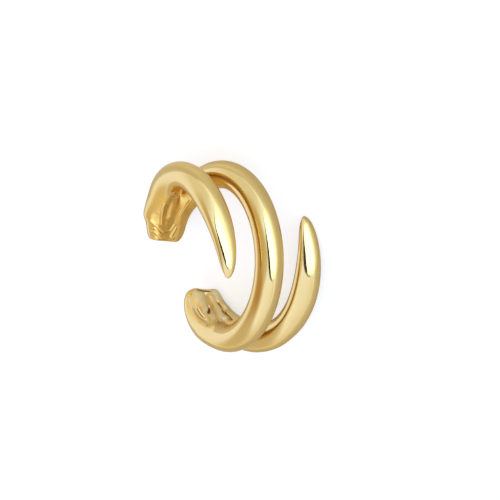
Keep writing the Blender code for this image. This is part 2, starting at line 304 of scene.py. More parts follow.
@dataclass
class Cage:
    """The coarse closed net of faces that the cuff is smoothed from."""

    ring: Ring
    sides: int = 8
    band_steps: int = 10
    end_insets: tuple[float, ...] = (0.72, 0.40)
    bm: bmesh.types.BMesh = field(default_factory=bmesh.new)

    def build(self) -> bmesh.types.BMesh:
        """Builds the whole net.

        Returns:
            The closed mesh, which the caller frees.
        """
        upper_claw, upper_band = self.add_terminal(Side.UPPER)
        lower_claw, lower_band = self.add_terminal(Side.LOWER)
        self.add_claw(upper_claw, Side.UPPER)
        self.add_claw(lower_claw, Side.LOWER)
        self.add_band(upper_band, lower_band)
        bmesh.ops.recalc_face_normals(self.bm, faces=self.bm.faces)
        return self.bm

    def swell(self, step: float) -> float:
        """How far a net point stands outside its smoothed round, from the weights 1, 4 and 1."""
        return 6 / (4 + 2 * math.cos(step))

    def section_point(
        self, turn: float, height: float, reach: float, section: Section, column: int, free: int
    ) -> Vector:
        """A point of a strand's section.

        Args:
            turn: where the section is, from the front.
            height: the height of the strand's centreline.
            reach: the centreline's distance from the axis, as a share of the ring's radius.
            section: the section's own sizes.
            column: the point's place round the section, 0 up and then outwards.
            free: 1 where the free flank of a terminal is its upper one, -1 where it is its lower.

        Returns:
            The point.
        """
        angle = 2 * math.pi * column / self.sides
        swell = self.swell(2 * math.pi / self.sides) * self.ring.wire_radius
        sideways = swell * section.width * math.cos(angle)
        if free * sideways > 0:
            sideways *= (1 + section.lean * math.sin(angle)) / (1 + section.lean)
        depth = section.outward if math.sin(angle) > 0 else section.inward
        distance = self.ring.radius * reach + swell * depth * math.sin(angle)
        return radial(turn) * distance + Vector((0, 0, height + sideways))

    def add_loop(self, points: dict[int, Vector], side: Side) -> Loop:
        """Adds points by their column, turned half round where they are on the lower side.

        Args:
            points: the points, by column.
            side: the half of the cuff that they belong to.

        Returns:
            The new points of the net, by column.
        """
        way = side.value
        return {
            column: self.bm.verts.new((way * point.x, point.y, way * point.z))
            for column, point in points.items()
        }

    def whole_loop(
        self, turn: float, height: float, reach: float, section: Section, side: Side
    ) -> Loop:
        """All the columns of a round section.

        Args:
            turn: where the section is, from the front.
            height: the height of the strand's centreline.
            reach: the centreline's distance from the axis, as a share of the ring's radius.
            section: the section's own sizes.
            side: the half of the cuff that it belongs to.

        Returns:
            The loop.
        """
        points = {
            column: self.section_point(turn, height, reach, section, column, 1)
            for column in range(self.sides)
        }
        return self.add_loop(points, side)

    def neighbours(self, first: int, last: int) -> list[tuple[int, int]]:
        """Pairs of neighbouring columns from one column up to another, going on past 0.

        Args:
            first: the column to start from.
            last: the column to stop at.

        Returns:
            The pairs, which go all the way round if both are the same.
        """
        count = (last - first) % self.sides or self.sides
        steps = [(first + step) % self.sides for step in range(count + 1)]
        return list(zip(steps, steps[1:]))

    def join(self, first: Loop, second: Loop, pairs: list[tuple[int, int]]) -> None:
        """Adds the four-sided faces between two loops, one for each pair of columns."""
        for low, high in pairs:
            self.bm.faces.new((first[low], first[high], second[high], second[low]))

    def terminal_loops(self, claw: Section, band: Section, side: Side) -> tuple[Loop, Loop]:
        """The two strands' loops at a terminal's section, without the columns that meet.

        Args:
            claw: the claw's section.
            band: the band's section at the same turn.
            side: the half of the cuff that they belong to.

        Returns:
            The claw's loop and the band's.
        """
        ring = self.ring
        turn = ring.end_turn(claw)
        swell = self.swell((ring.terminal_turn - ring.crotch_turn) / len(TERMINAL_CLAW))
        loops = []
        for section, height, free, hidden in zip(
            (claw, band), ring.end_heights(claw, band), (1, -1), (Column.DOWN, Column.UP)
        ):
            points = {
                column: self.section_point(
                    turn, height, swell * section.reach, section, column, free
                )
                for column in range(self.sides)
                if column != hidden.value
            }
            loops.append(self.add_loop(points, side))
        return loops[0], loops[1]

    def add_terminal(self, side: Side) -> tuple[Loop, Loop]:
        """Adds one fused terminal.

        Args:
            side: the half of the cuff that it belongs to.

        Returns:
            The claw's and the band's whole loops at the crotch.
        """
        up, down = Column.UP.value, Column.DOWN.value
        loops = [
            self.terminal_loops(claw, band, side)
            for claw, band in zip(TERMINAL_CLAW, TERMINAL_BAND)
        ]
        middle = radial(self.ring.crotch_turn) * self.ring.radius
        middle.z = 0.5 * sum(self.ring.end_heights(TERMINAL_CLAW[0], TERMINAL_BAND[0]))
        saddle = self.add_loop({down: middle}, side)[down]
        loops[0][0][down] = saddle
        loops[0][1][up] = saddle
        for index, (here, after) in enumerate(zip(loops, loops[1:])):
            (claw, band), (claw_next, band_next) = here, after
            self.join(claw, claw_next, self.neighbours(down + 1, down - 1))
            self.join(band, band_next, self.neighbours(up + 1, up - 1))
            between = () if index else (saddle,)
            outside = (band[up + 1], band_next[up + 1], claw_next[down - 1])
            inside = (claw[down + 1], claw_next[down + 1], band_next[self.sides - 1])
            self.bm.faces.new((claw[down - 1], *between, *outside))
            self.bm.faces.new((band[self.sides - 1], *between, *inside))
        self.close_end(*loops[-1])
        return loops[0]

    def close_end(self, claw: Loop, band: Loop) -> None:
        """Closes a terminal with a flat end, drawn in loop by loop so that it stays flat.

        Args:
            claw: the claw's last loop.
            band: the band's last loop.
        """
        rim = [claw[low] for low, _ in self.neighbours(Column.DOWN.value + 1, Column.DOWN.value)]
        rim += [band[low] for low, _ in self.neighbours(Column.UP.value + 1, Column.UP.value)]
        middle = sum((vert.co for vert in rim), Vector()) / len(rim)
        outer = rim
        for inset in self.end_insets:
            inner = [self.bm.verts.new(middle.lerp(vert.co, inset)) for vert in rim]
            for index in range(len(rim)):
                after = (index + 1) % len(rim)
                self.bm.faces.new((outer[index], outer[after], inner[after], inner[index]))
            outer = inner
        for index in range(len(outer) // 2 - 1):
            corners = (outer[index], outer[index + 1], outer[-index - 2], outer[-index - 1])
            self.bm.faces.new(corners)

    def add_claw(self, crotch: Loop, side: Side) -> None:
        """Adds a claw from the crotch to its point.

        Args:
            crotch: the claw's whole loop at the crotch.
            side: the half of the cuff that it belongs to.
        """
        ring = self.ring
        up = Column.UP.value
        swell = self.swell((ring.crotch_turn - ring.tip_turn) / len(CLAW))
        previous = crotch
        for section in CLAW:
            turn, height = ring.claw_turn(section), ring.claw_height(section)
            loop = self.whole_loop(turn, height, swell * section.reach, section, side)
            self.join(previous, loop, self.neighbours(up, up))
            previous = loop
        turn, height = ring.claw_turn(CLAW_POINT), ring.claw_height(CLAW_POINT)
        point = self.section_point(turn, height, CLAW_POINT.reach, CLAW_POINT, up, 1)
        tip = self.add_loop({up: point}, side)[up]
        for low, high in self.neighbours(up, up):
            self.bm.faces.new((previous[low], previous[high], tip))

    def add_band(self, upper: Loop, lower: Loop) -> None:
        """Adds the middle band from the upper crotch round the front to the lower one.

        Args:
            upper: the band's whole loop at the upper crotch.
            lower: the band's whole loop at the lower crotch.
        """
        up, down = Column.UP.value, Column.DOWN.value
        step = 2 * self.ring.crotch_turn / self.band_steps
        previous = upper
        for index in range(1, self.band_steps):
            turn = self.ring.crotch_turn - index * step
            height = self.ring.band_height(turn)
            loop = self.whole_loop(turn, height, self.swell(step), PLAIN_BAND, Side.UPPER)
            self.join(previous, loop, self.neighbours(up, up))
            previous = loop
        # Turned half round, the lower terminal's columns run from down to up
        last = {column: lower[(down - column) % self.sides] for column in range(self.sides)}
        self.join(previous, last, self.neighbours(up, up))


@dataclass(frozen=True)
class Relief:
    """The cast relief on the inner faces of the two terminals.

    It lies between a start and a stop, in shares of a terminal's length from its crotch, and
    fades out on the flanks, which face away from the ring's axis.
    """

    ring: Ring
    height: float = 0.12 * MM
    width: float = 0.20 * MM
    start: float = -0.5
    stop: float = 0.98
    flank_facing: float = 0.25
    flank_fade: float = 0.25

    def place(self, point: Vector) -> tuple[float, float, Side]:
        """Where a point lies along a terminal, across it from the seam, and on which side.

        Args:
            point: a point of the cuff, with the ring's axis along Z.

        Returns:
            The share of the terminal's length from its crotch, the distance from the seam towards
            the claw, and the side.
        """
        ring = self.ring
        turn = turn_of(point)
        side = Side.UPPER if turn > 0 else Side.LOWER
        along = (abs(turn) - ring.crotch_turn) / (ring.terminal_turn - ring.crotch_turn)
        share = min(max(along, 0.0), 1.0)
        crotch_seam = 0.5 * sum(ring.end_heights(TERMINAL_CLAW[0], TERMINAL_BAND[0]))
        end_seam = 0.5 * sum(ring.end_heights(TERMINAL_CLAW[-1], TERMINAL_BAND[-1]))
        seam = crotch_seam + share * (end_seam - crotch_seam)
        return along, side.value * point.z - seam, side

    def facing(self, point: Vector, normal: Vector) -> float:
        """How squarely a surface faces the ring's axis, 1 where it does and 0 on a flank."""
        return -normal.dot(radial(turn_of(point)))

    def inward_share(self, point: Vector, normal: Vector) -> float:
        """The share of the relief that a surface gets, 1 inside and falling to 0 on a flank."""
        return smooth_share(self.facing(point, normal), self.flank_facing, self.flank_fade)

    def stroke_lift(self, stroke: Stroke, along: float, across: float) -> float:
        """How far a stroke lifts the surface at a place on the terminal.

        Args:
            stroke: the stroke.
            along: the share of the terminal's length.
            across: the distance from the seam towards the claw.

        Returns:
            The lift, below 0 for a groove.
        """
        length = self.ring.terminal_length
        wire = self.ring.wire_radius
        start = Vector((stroke.along * length, stroke.across * wire))
        end = Vector((stroke.along_to * length, stroke.across_to * wire))
        here = Vector((along * length, across))
        share = (here - start).dot(end - start) / (end - start).length_squared
        nearest = start.lerp(end, min(max(share, 0.0), 1.0))
        away = (here - nearest).length / (stroke.width * self.width)
        return stroke.height * self.height * max(0.0, 1 - away * away) ** 2

    def lifts(self, point: Vector) -> tuple[float, float]:
        """How far the highest ridge at a point rises, and the deepest groove sinks below 0.

        Args:
            point: a point of the cuff, with the ring's axis along Z.

        Returns:
            The rise, at least 0, and the sink, at most 0.
        """
        along, across, side = self.place(point)
        if not self.start < along < self.stop:
            return 0.0, 0.0
        strokes = UPPER_RELIEF if side is Side.UPPER else LOWER_RELIEF
        lifts = [self.stroke_lift(stroke, along, across) for stroke in strokes]
        return max(0.0, max(lifts)), min(0.0, min(lifts))

    def raise_on(self, mesh: bpy.types.Mesh, cuts: int) -> None:
        """Cuts the inner faces of the terminals finer and raises the relief on them.

        Args:
            mesh: the smoothed mesh, with the ring's axis along Z.
            cuts: how many cuts each edge there gets.
        """
        bm = bmesh.new()
        bm.from_mesh(mesh)
        bm.normal_update()
        inner = set()
        for face in bm.faces:
            centre = face.calc_center_median()
            inside = self.start < self.place(centre)[0] < self.stop
            if inside and self.inward_share(centre, face.normal) > 0:
                inner.update(face.edges)
        edges = [edge for edge in bm.edges if edge in inner]
        bmesh.ops.subdivide_edges(bm, edges=edges, cuts=cuts, use_grid_fill=True)
        bm.normal_update()
        moves = []
        for vert in bm.verts:
            share = self.inward_share(vert.co, vert.normal)
            moves.append((vert, vert.normal * (sum(self.lifts(vert.co)) * share)))
        for vert, move in moves:
            vert.co += move
        bm.to_mesh(mesh)
        bm.free()


@dataclass(frozen=True)
class HammeredFace:
    """The face that is hammered flatter along the front of a claw, up to a soft crease.

    It faces outwards by a turn from straight up. It is part of a wide round, whose radius and
    centre are in shares of the claw's own radius. The centre lies across the claw, towards its
    lower flank, and outwards, towards the face, or the other way where the share is below 0. The
    crease and the blend are how sharply it ends at its upper and at its lower edge. It fades in
    along the claw, from a start, in shares of the claw's length.
    """

    side: Side
    facing: float = math.radians(58)
    radius: float = 1.9
    across: float = -0.38
    outward: float = -1.175
    start: float = 0.24
    fade: float = 0.26
    crease: float = 40.0
    blend: float = 9.0

    def flattened(self, angle: float) -> float:
        """The share of the round radius that stays at an angle from the face's middle.

        Args:
            angle: the angle round the claw's centreline, in radians.

        Returns:
            The share, 1 away from the face.
        """
        along = math.sin(angle) * self.across + math.cos(angle) * self.outward
        spare = self.radius ** 2 - self.across ** 2 - self.outward ** 2
        reach = along + math.sqrt(along * along + spare)
        firm = self.crease if angle < 0 else self.blend
        return -math.log(math.exp(-firm) + math.exp(-firm * reach)) / firm

    def press(self, ring: Ring, mesh: bpy.types.Mesh) -> None:
        """Moves the points of the claw in towards its centreline, onto the face.

        Args:
            ring: the ring that the claw follows.
            mesh: the smoothed mesh, with the ring's axis along Z.
        """
        way = self.side.value
        sections = ring.claw_sections()
        turns = [section.turn for section in sections]
        for vert in mesh.vertices:
            own = Vector((way * vert.co.x, vert.co.y, way * vert.co.z))
            turn = turn_of(own)
            share = (ring.crotch_turn - turn) / (ring.crotch_turn - ring.tip_turn)
            if not self.start < share < turns[-1]:
                continue
            here = sections[bisect_left(turns, share)]
            height = ring.claw_height(here)
            if own.z < height - ring.wire_radius - 0.5 * ring.claw_gap:
                continue
            up = way * (own.z - height)
            out = math.hypot(own.x, own.y) - ring.radius * here.reach
            angle = (math.atan2(out, up) - self.facing + math.pi) % (2 * math.pi) - math.pi
            pressed = 1 + smooth_share(share, self.start, self.fade) * (self.flattened(angle) - 1)
            middle = radial(turn) * (ring.radius * here.reach)
            middle.z = height
            moved = middle + (own - middle) * pressed
            vert.co = (way * moved.x, moved.y, way * moved.z)


@dataclass(frozen=True)
class Value:
    """A number in a shader, so that shader maths reads as a plain expression."""

    graph: "Graph"
    socket: bpy.types.NodeSocket

    def maths(self, operation: str, *terms: "Value | float") -> "Value":
        """Joins terms with a Math node."""
        node = self.graph.node("ShaderNodeMath", {"operation": operation}, dict(enumerate(terms)))
        return Value(self.graph, node.outputs[0])

    def __add__(self, other: "Value | float") -> "Value":
        """self + other."""
        return self.maths("ADD", self, other)

    __radd__ = __add__

    def __sub__(self, other: "Value | float") -> "Value":
        """self - other."""
        return self.maths("SUBTRACT", self, other)

    def __rsub__(self, other: "Value | float") -> "Value":
        """other - self."""
        return self.maths("SUBTRACT", other, self)

    def __mul__(self, other: "Value | float") -> "Value":
        """self * other."""
        return self.maths("MULTIPLY", self, other)

    __rmul__ = __mul__

    def clamped(self) -> "Value":
        """The value kept between 0 and 1."""
        return self.maths("MAXIMUM", self.maths("MINIMUM", self, 1.0), 0.0)

    def varied(self, spread: float) -> "Value":
        """Soft noise turned into one that varies about 0 by half the spread."""
        return (self - 0.5) * spread

    def ramped(self, start: float, end: float) -> "Value":
        """0 at start and 1 at end, smooth between them."""
        share = ((self - start) * (1 / (end - start))).clamped()
        return share * share * (3 - 2 * share)


@dataclass
class Graph:
    """The nodes of one material, or of the world."""

    tree: bpy.types.NodeTree

    def feed(self, socket: bpy.types.NodeSocket, value: Any) -> None:
        """Sets a socket to a plain value, or links it to a value or another socket.

        Args:
            socket: the input to set.
            value: a plain value, a Value or an output to link.
        """
        if isinstance(value, Value):
            value = value.socket
        if isinstance(value, bpy.types.NodeSocket):
            self.tree.links.new(value, socket)
        else:
            socket.default_value = value

    def node(self, kind: str, settings: dict[str, Any], inputs: dict[Any, Any]) -> bpy.types.Node:
        """Adds a node.

        Args:
            kind: the node's type.
            settings: its own settings, which are set first.
            inputs: plain values or links, by the socket's name or number.

        Returns:
            The node.
        """
        node = self.tree.nodes.new(kind)
        for name, setting in settings.items():
            setattr(node, name, setting)
        for key, value in inputs.items():
            self.feed(node.inputs[key], value)
        return node

    def attribute(self, name: str) -> bpy.types.Node:
        """A node that reads an attribute of the mesh."""
        return self.node("ShaderNodeAttribute", {"attribute_name": name}, {})

    def vector_maths(self, operation: str, first: Any, second: Any) -> bpy.types.Node:
        """Joins two vectors with a Vector Math node."""
        return self.node("ShaderNodeVectorMath", {"operation": operation}, {0: first, 1: second})

    def dot(self, vector: bpy.types.NodeSocket, axis: Vector) -> Value:
        """How far a vector reaches along an axis."""
        return Value(self, self.vector_maths("DOT_PRODUCT", vector, tuple(axis)).outputs["Value"])

    def distance(self, place: bpy.types.NodeSocket, point: tuple[float, ...]) -> Value:
        """How far a place is from a point."""
        return Value(self, self.vector_maths("DISTANCE", place, point).outputs["Value"])

    def noise(self, place: bpy.types.NodeSocket, scale: float, detail: float) -> Value:
        """Soft noise between 0 and 1, about 0.5 on average."""
        inputs = {"Vector": place, "Scale": scale, "Detail": detail}
        return Value(self, self.node("ShaderNodeTexNoise", {}, inputs).outputs[0])

    def bump(self, height: Value, strength: float, distance: float) -> bpy.types.NodeSocket:
        """The normal of a surface that a height raises, where 1 stands for the distance."""
        inputs = {"Strength": strength, "Distance": distance, "Height": height}
        return self.node("ShaderNodeBump", {}, inputs).outputs[0]

    def blend(self, share: Value, start: Any, end: Any) -> bpy.types.NodeSocket:
        """A colour between two others, given as colours or links."""
        # A Mix node takes its two colours on sockets 6 and 7 and gives one on output 2
        node = self.node("ShaderNodeMix", {"data_type": "RGBA"}, {0: share, 6: start, 7: end})
        return node.outputs[2]


def new_material(name: str) -> tuple[bpy.types.Material, Graph, bpy.types.Node]:
    """An empty material, its graph and its Principled shader.

    Args:
        name: the material's name.

    Returns:
        The material, its graph and its Principled shader.
    """
    material = bpy.data.materials.new(name)
    material.use_nodes = True
    graph = Graph(material.node_tree)
    return material, graph, material.node_tree.nodes["Principled BSDF"]


@dataclass(frozen=True)
class PolishedGold:
    """Gold plate, polished bright outside and left as cast inside the terminals.

    The cast inner faces are a richer orange, partly a painted reflection of the gold in
    itself there. The lower terminal has a brush finish inside and is painted paler there,
    which is painted light, and the grooves are darkened with painted shade. Each noise has its
    scale, in millimetres round the ring, out from its axis and up, and its detail. Lines from
    polishing run along the strands, clouds vary the polish, and dents roughen the cast. The
    patches say how far the tints, the painted light and the painted shade vary with the dents.
    """

    colour: Colour = (0.69, 0.472, 0.146, 1.0)
    # Richer orange of the cast inner faces, partly a painted reflection of the gold in itself
    cast_and_painted_reflection_colour: Colour = (0.80, 0.50, 0.12, 1.0)
    # Paler gold of the lower terminal's inside: its brush finish, and painted light
    brushed_and_painted_light_colour: Colour = (1.0, 0.81, 0.40, 1.0)
    edge_colour: Colour = (0.92, 0.80, 0.55, 1.0)
    # Painted shade in the grooves of the relief
    crevice_shade_colour: Colour = (0.20, 0.085, 0.02, 1.0)
    roughness: float = 0.09
    cast_roughness: float = 0.34
    brushed_roughness: float = 0.56
    lacquer: float = 0.2
    lacquer_roughness: float = 0.3
    line_stretch: tuple[float, ...] = (0.25, 6.0, 6.0)
    line_noise: tuple[float, float] = (2.0, 3.0)
    line_roughness: float = 0.05
    line_height: float = 0.0006
    cloud_noise: tuple[float, float] = (0.7, 2.0)
    cloud_roughness: float = 0.03
    cloud_tint: float = 0.2
    dent_noise: tuple[float, float] = (2.2, 3.0)
    dent_height: float = 0.018
    cast_patches: float = 0.5
    painted_light_patches: float = 0.8
    crevice_shade_patches: float = 0.6

    def material(self) -> bpy.types.Material:
        """Builds the material.

        Returns:
            A material that reads the attributes strand_place, in millimetres, and the masks of the
            cast finish, of the brush finish with its painted light, and of the painted groove
            shade.
        """
        material, graph, shader = new_material("polished_gold")
        place = graph.attribute("strand_place").outputs["Vector"]
        cast = Value(graph, graph.attribute("cast").outputs["Fac"])
        brushed_and_lit = Value(graph, graph.attribute("brushed_and_lit").outputs["Fac"])
        crevice_shade = Value(graph, graph.attribute("crevice_shade").outputs["Fac"])
        stretched = graph.vector_maths("MULTIPLY", place, self.line_stretch).outputs[0]
        lines = graph.noise(stretched, *self.line_noise)
        clouds = graph.noise(place, *self.cloud_noise)
        dents = graph.noise(place, *self.dent_noise)
        tint = cast * (1 + dents.varied(self.cast_patches)) + clouds.varied(self.cloud_tint)
        painted_light_share = (brushed_and_lit * (1 + dents.varied(self.painted_light_patches))).clamped()
        # Painted shade that darkens the grooves, in patches
        painted_shade = crevice_shade * (1 + dents.varied(self.crevice_shade_patches))
        # Cast inner faces painted a richer orange, partly a painted reflection
        colour = graph.blend(tint.clamped(), self.colour, self.cast_and_painted_reflection_colour)
        # Painted light: the lower terminal's inside is painted paler along with its brush finish
        colour = graph.blend(painted_light_share, colour, self.brushed_and_painted_light_colour)
        colour = graph.blend(painted_shade, colour, self.crevice_shade_colour)
        roughness = self.roughness + lines.varied(self.line_roughness)
        roughness = roughness + clouds.varied(self.cloud_roughness)
        roughness = roughness + cast * (self.cast_roughness - self.roughness)
        roughness = roughness + brushed_and_lit * (self.brushed_roughness - self.cast_roughness)
        height = lines.varied(self.line_height) + cast * dents * self.dent_height
        graph.feed(shader.inputs["Base Color"], colour)
        graph.feed(shader.inputs["Roughness"], roughness)
        graph.feed(shader.inputs["Normal"], graph.bump(height, 1.0, MM))
        graph.feed(shader.inputs["Metallic"], 1.0)
        graph.feed(shader.inputs["Specular Tint"], self.edge_colour)
        graph.feed(shader.inputs["Coat Weight"], (1 - cast) * self.lacquer)
        graph.feed(shader.inputs["Coat Roughness"], self.lacquer_roughness)
        return material


@dataclass(frozen=True)
class Acrylic:
    """Satin acrylic, lit from within.

    The glow changes to the far glow towards an azimuth, from a near distance to a far one. A spot
    of another glow may lie on it, which fades out at its radius.
    """

    name: str
    colour: Colour = (0.62, 0.62, 0.62, 1.0)
    roughness: float = 0.3
    glow: Colour = (0.62, 0.62, 0.61, 1.0)
    far_glow: Colour = (0.62, 0.62, 0.61, 1.0)
    azimuth: float = -75.0
    near: float = 0.0
    far: float = 45.0 * MM
    spot_glow: Colour | None = None
    spot_place: tuple[float, ...] = (12.5 * MM, 2.5 * MM, 0.0)
    spot_radius: float = 15.0 * MM
    grain_noise: tuple[float, float] = (900.0, 3.0)
    grain_strength: float = 0.1
    grain_depth: float = 0.02 * MM

    def material(self) -> bpy.types.Material:
        """Builds the material.

        Returns:
            The material.
        """
        material, graph, shader = new_material(self.name)
        place = graph.node("ShaderNodeTexCoord", {}, {}).outputs["Object"]
        grain = graph.noise(place, *self.grain_noise)
        off = graph.dot(place, direction(self.azimuth, 0.0)).ramped(self.near, self.far)
        glow = graph.blend(off, self.glow, self.far_glow)
        if self.spot_glow:
            share = graph.distance(place, self.spot_place).ramped(self.spot_radius, 0.0)
            glow = graph.blend(share, glow, self.spot_glow)
        graph.feed(shader.inputs["Base Color"], self.colour)
        graph.feed(shader.inputs["Roughness"], self.roughness)
        graph.feed(
            shader.inputs["Normal"], graph.bump(grain, self.grain_strength, self.grain_depth)
        )
        graph.feed(shader.inputs["Emission Color"], glow)
        graph.feed(shader.inputs["Emission Strength"], 1.0)
        return material


@dataclass
class Cuff:
    """The whole cuff: two claws and the band, fused in pairs at two blunt terminals.

    A coarse one finds how it rests: on the face of its hull nearest to its centre of mass that
    points down by more than the lying side. The cast finish fades in from the relief's start. The
    brush finish inside the lower terminal, which also carries painted light, begins at a facing
    towards the axis, and painted shade darkens a groove from a depth in shares of the relief's
    height.
    """

    ring: Ring = Ring()
    fineness: int = 3
    resting_fineness: int = 1
    relief_cuts: int = 1
    lying_side: float = 0.5
    cast_fade: float = 0.5
    brushed_and_lit_facing: float = 0.6
    brushed_and_lit_fade: float = 0.35
    dark_depth: float = 0.5
    dark_fade: float = 1.0
    faces: tuple[HammeredFace, ...] = (
        HammeredFace(Side.LOWER),
        HammeredFace(Side.UPPER, start=0.5, fade=0.3),
    )

    def smoothed(self, cage: bmesh.types.BMesh, levels: int) -> bpy.types.Mesh:
        """The net smoothed by Subdivision Surface, with the relief raised on it.

        Args:
            cage: the net.
            levels: how many times it is smoothed.

        Returns:
            A mesh with the ring's axis along Z.
        """
        net = bpy.data.meshes.new("net")
        cage.to_mesh(net)
        holder = bpy.data.objects.new("net", net)
        bpy.context.scene.collection.objects.link(holder)
        smoothing = holder.modifiers.new("Smooth", "SUBSURF")
        smoothing.levels = levels
        smoothing.render_levels = levels
        graph = bpy.context.evaluated_depsgraph_get()
        mesh = bpy.data.meshes.new_from_object(holder.evaluated_get(graph))
        bpy.data.objects.remove(holder)
        bpy.data.meshes.remove(net)
        Relief(self.ring).raise_on(mesh, self.relief_cuts)
        return mesh

    def centre_of_mass(self, bm: bmesh.types.BMesh) -> Vector:
        """The centre of the solid inside a closed mesh, summed over its triangles.

        Args:
            bm: the closed mesh.

        Returns:
            The centre.
        """
        volume = 0.0
        moment = Vector()
        for loops in bm.calc_loop_triangles():
            a, b, c = (loop.vert.co for loop in loops)
            part = a.dot(b.cross(c)) / 6
            volume += part
            moment += (a + b + c) * (part / 4)
        return moment / volume

    def resting_turn(self, bm: bmesh.types.BMesh) -> Matrix:
        """The rotation that lays the cuff on its lower claw's side, as it rests by itself.

        Args:
            bm: the coarse cuff, with the ring's axis along Z.

        Returns:
            The rotation.
        """
        centre = self.centre_of_mass(bm)
        hull = bm.copy()
        made = bmesh.ops.convex_hull(hull, input=hull.verts)
        best_lift, best_normal = math.inf, Vector((0, 0, -1))
        for facet in made["geom"]:
            if not isinstance(facet, bmesh.types.BMFace):
                continue
            corners = [vert.co for vert in facet.verts]
            normal = (corners[1] - corners[0]).cross(corners[2] - corners[0]).normalized()
            lift = (corners[0] - centre).dot(normal)
            if lift < 0:
                lift, normal = -lift, -normal
            if -normal.z > self.lying_side and lift < best_lift:
                best_lift, best_normal = lift, normal.copy()
        hull.free()
        return best_normal.rotation_difference(Vector((0, 0, -1))).to_matrix().to_4x4()

    def resting_place(self, mesh: bpy.types.Mesh) -> Matrix:
        """The move that lays the cuff down, the middle of its box's underside at the origin.

        Args:
            mesh: the coarse cuff, with the ring's axis along Z.

        Returns:
            The move.
        """
        bm = bmesh.new()
        bm.from_mesh(mesh)
        turn = self.resting_turn(bm)
        bm.transform(turn)
        lows = [min(vert.co[axis] for vert in bm.verts) for axis in range(3)]
        highs = [max(vert.co[axis] for vert in bm.verts) for axis in range(3)]
        bm.free()
        stand = Vector((0.5 * (lows[0] + highs[0]), 0.5 * (lows[1] + highs[1]), lows[2]))
        return Matrix.Translation(-stand) @ turn

    def mark(self, mesh: bpy.types.Mesh) -> None:
        """Stores where each point lies on its strand, how the surface there is finished, and where
        light and shade are painted on it.

        Args:
            mesh: the finished mesh, with the ring's axis along Z. It gets the attributes
            strand_place, in millimetres, and the masks of the cast finish, of the brush finish
            with its painted light, and of the painted groove shade.
        """
        relief = Relief(self.ring)
        places, casts, brushed_and_lit_shares, crevice_shades = [], [], [], []
        for vert in mesh.vertices:
            distance = math.hypot(vert.co.x, vert.co.y)
            around = turn_of(vert.co) * self.ring.radius
            places += [around / MM, distance / MM, vert.co.z / MM]
            along, _, side = relief.place(vert.co)
            inside = smooth_share(along, relief.start, self.cast_fade)
            casts.append(inside * relief.inward_share(vert.co, vert.normal))
            facing = relief.facing(vert.co, vert.normal)
            # Brush-finish mask of the lower terminal, which also carries the painted light there
            brushed_and_lit = inside * smooth_share(facing, self.brushed_and_lit_facing, self.brushed_and_lit_fade)
            brushed_and_lit_shares.append(brushed_and_lit if side is Side.LOWER else 0.0)
            # Painted shade: the deeper a groove, the darker it is painted
            depth = -relief.lifts(vert.co)[1] / relief.height
            dark = smooth_share(depth, self.dark_depth, self.dark_fade)
            crevice_shades.append(casts[-1] * dark)
        spots = mesh.attributes.new("strand_place", "FLOAT_VECTOR", "POINT")
        spots.data.foreach_set("vector", places)
        finish_and_shade_masks = {"cast": casts, "brushed_and_lit": brushed_and_lit_shares, "crevice_shade": crevice_shades}
        for name, values in finish_and_shade_masks.items():
            mesh.attributes.new(name, "FLOAT", "POINT").data.foreach_set("value", values)

    def build(self) -> tuple[bpy.types.Object, Matrix]:
        """Builds the cuff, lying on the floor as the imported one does.

        Returns:
            The cuff, and the move that laid it down.
        """
        cage = Cage(self.ring).build()
        coarse = self.smoothed(cage, self.resting_fineness)
        place = self.resting_place(coarse)
        bpy.data.meshes.remove(coarse)
        mesh = self.smoothed(cage, self.fineness)
        cage.free()
        for face in self.faces:
            face.press(self.ring, mesh)
        mesh.name = "cuff_gold"
        self.mark(mesh)
        mesh.transform(place)
        lowest = min(vert.co.z for vert in mesh.vertices)
        mesh.transform(Matrix.Translation((0, 0, -lowest)))
        mesh.shade_smooth()
        cuff = bpy.data.objects.new("cuff_gold", mesh)
        bpy.context.scene.collection.objects.link(cuff)
        return cuff, place

    def dress(self, cuff: bpy.types.Object, finish: PolishedGold) -> None:
        """Gives the cuff its finish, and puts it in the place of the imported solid.

        Args:
            cuff: the cuff.
            finish: the gold.
        """
        cuff.data.materials.clear()
        cuff.data.materials.append(finish.material())
        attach(cuff, "root")
        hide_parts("cuff")


@dataclass(frozen=True)
class GlowingCloth:
    """The lit front cloth of a softbox, dimmer from a share of its half width to its sides."""

    strength: float = 6.0
    colour: Colour = (0.52, 0.70, 1.0, 1.0)
    side_colour: Colour = (0.21, 0.26, 0.42, 1.0)
    dim_from: float = 0.45

    def material(self) -> bpy.types.Material:
        """Builds the material.

        Returns:
            A material that reads the attribute cloth_place, 0 in the middle and 1 at the sides.
        """
        material, graph, shader = new_material("softbox_cloth")
        place = graph.attribute("cloth_place").outputs["Fac"]
        share = Value(graph, place).ramped(self.dim_from, 1.0)
        colour = graph.blend(share, self.colour, self.side_colour)
        graph.feed(shader.inputs["Base Color"], BLACK)
        graph.feed(shader.inputs["Specular IOR Level"], 0.0)
        graph.feed(shader.inputs["Emission Color"], colour)
        graph.feed(shader.inputs["Emission Strength"], self.strength)
        return material


@dataclass(frozen=True)
class DarkVelvet:
    """Black-brown cloth that takes the light away."""

    colour: Colour = (0.030, 0.013, 0.004, 1.0)

    def material(self) -> bpy.types.Material:
        """Builds the material.

        Returns:
            The material.
        """
        material, graph, shader = new_material("dark_velvet")
        graph.feed(shader.inputs["Base Color"], self.colour)
        graph.feed(shader.inputs["Roughness"], 1.0)
        graph.feed(shader.inputs["Specular IOR Level"], 0.0)
        return material


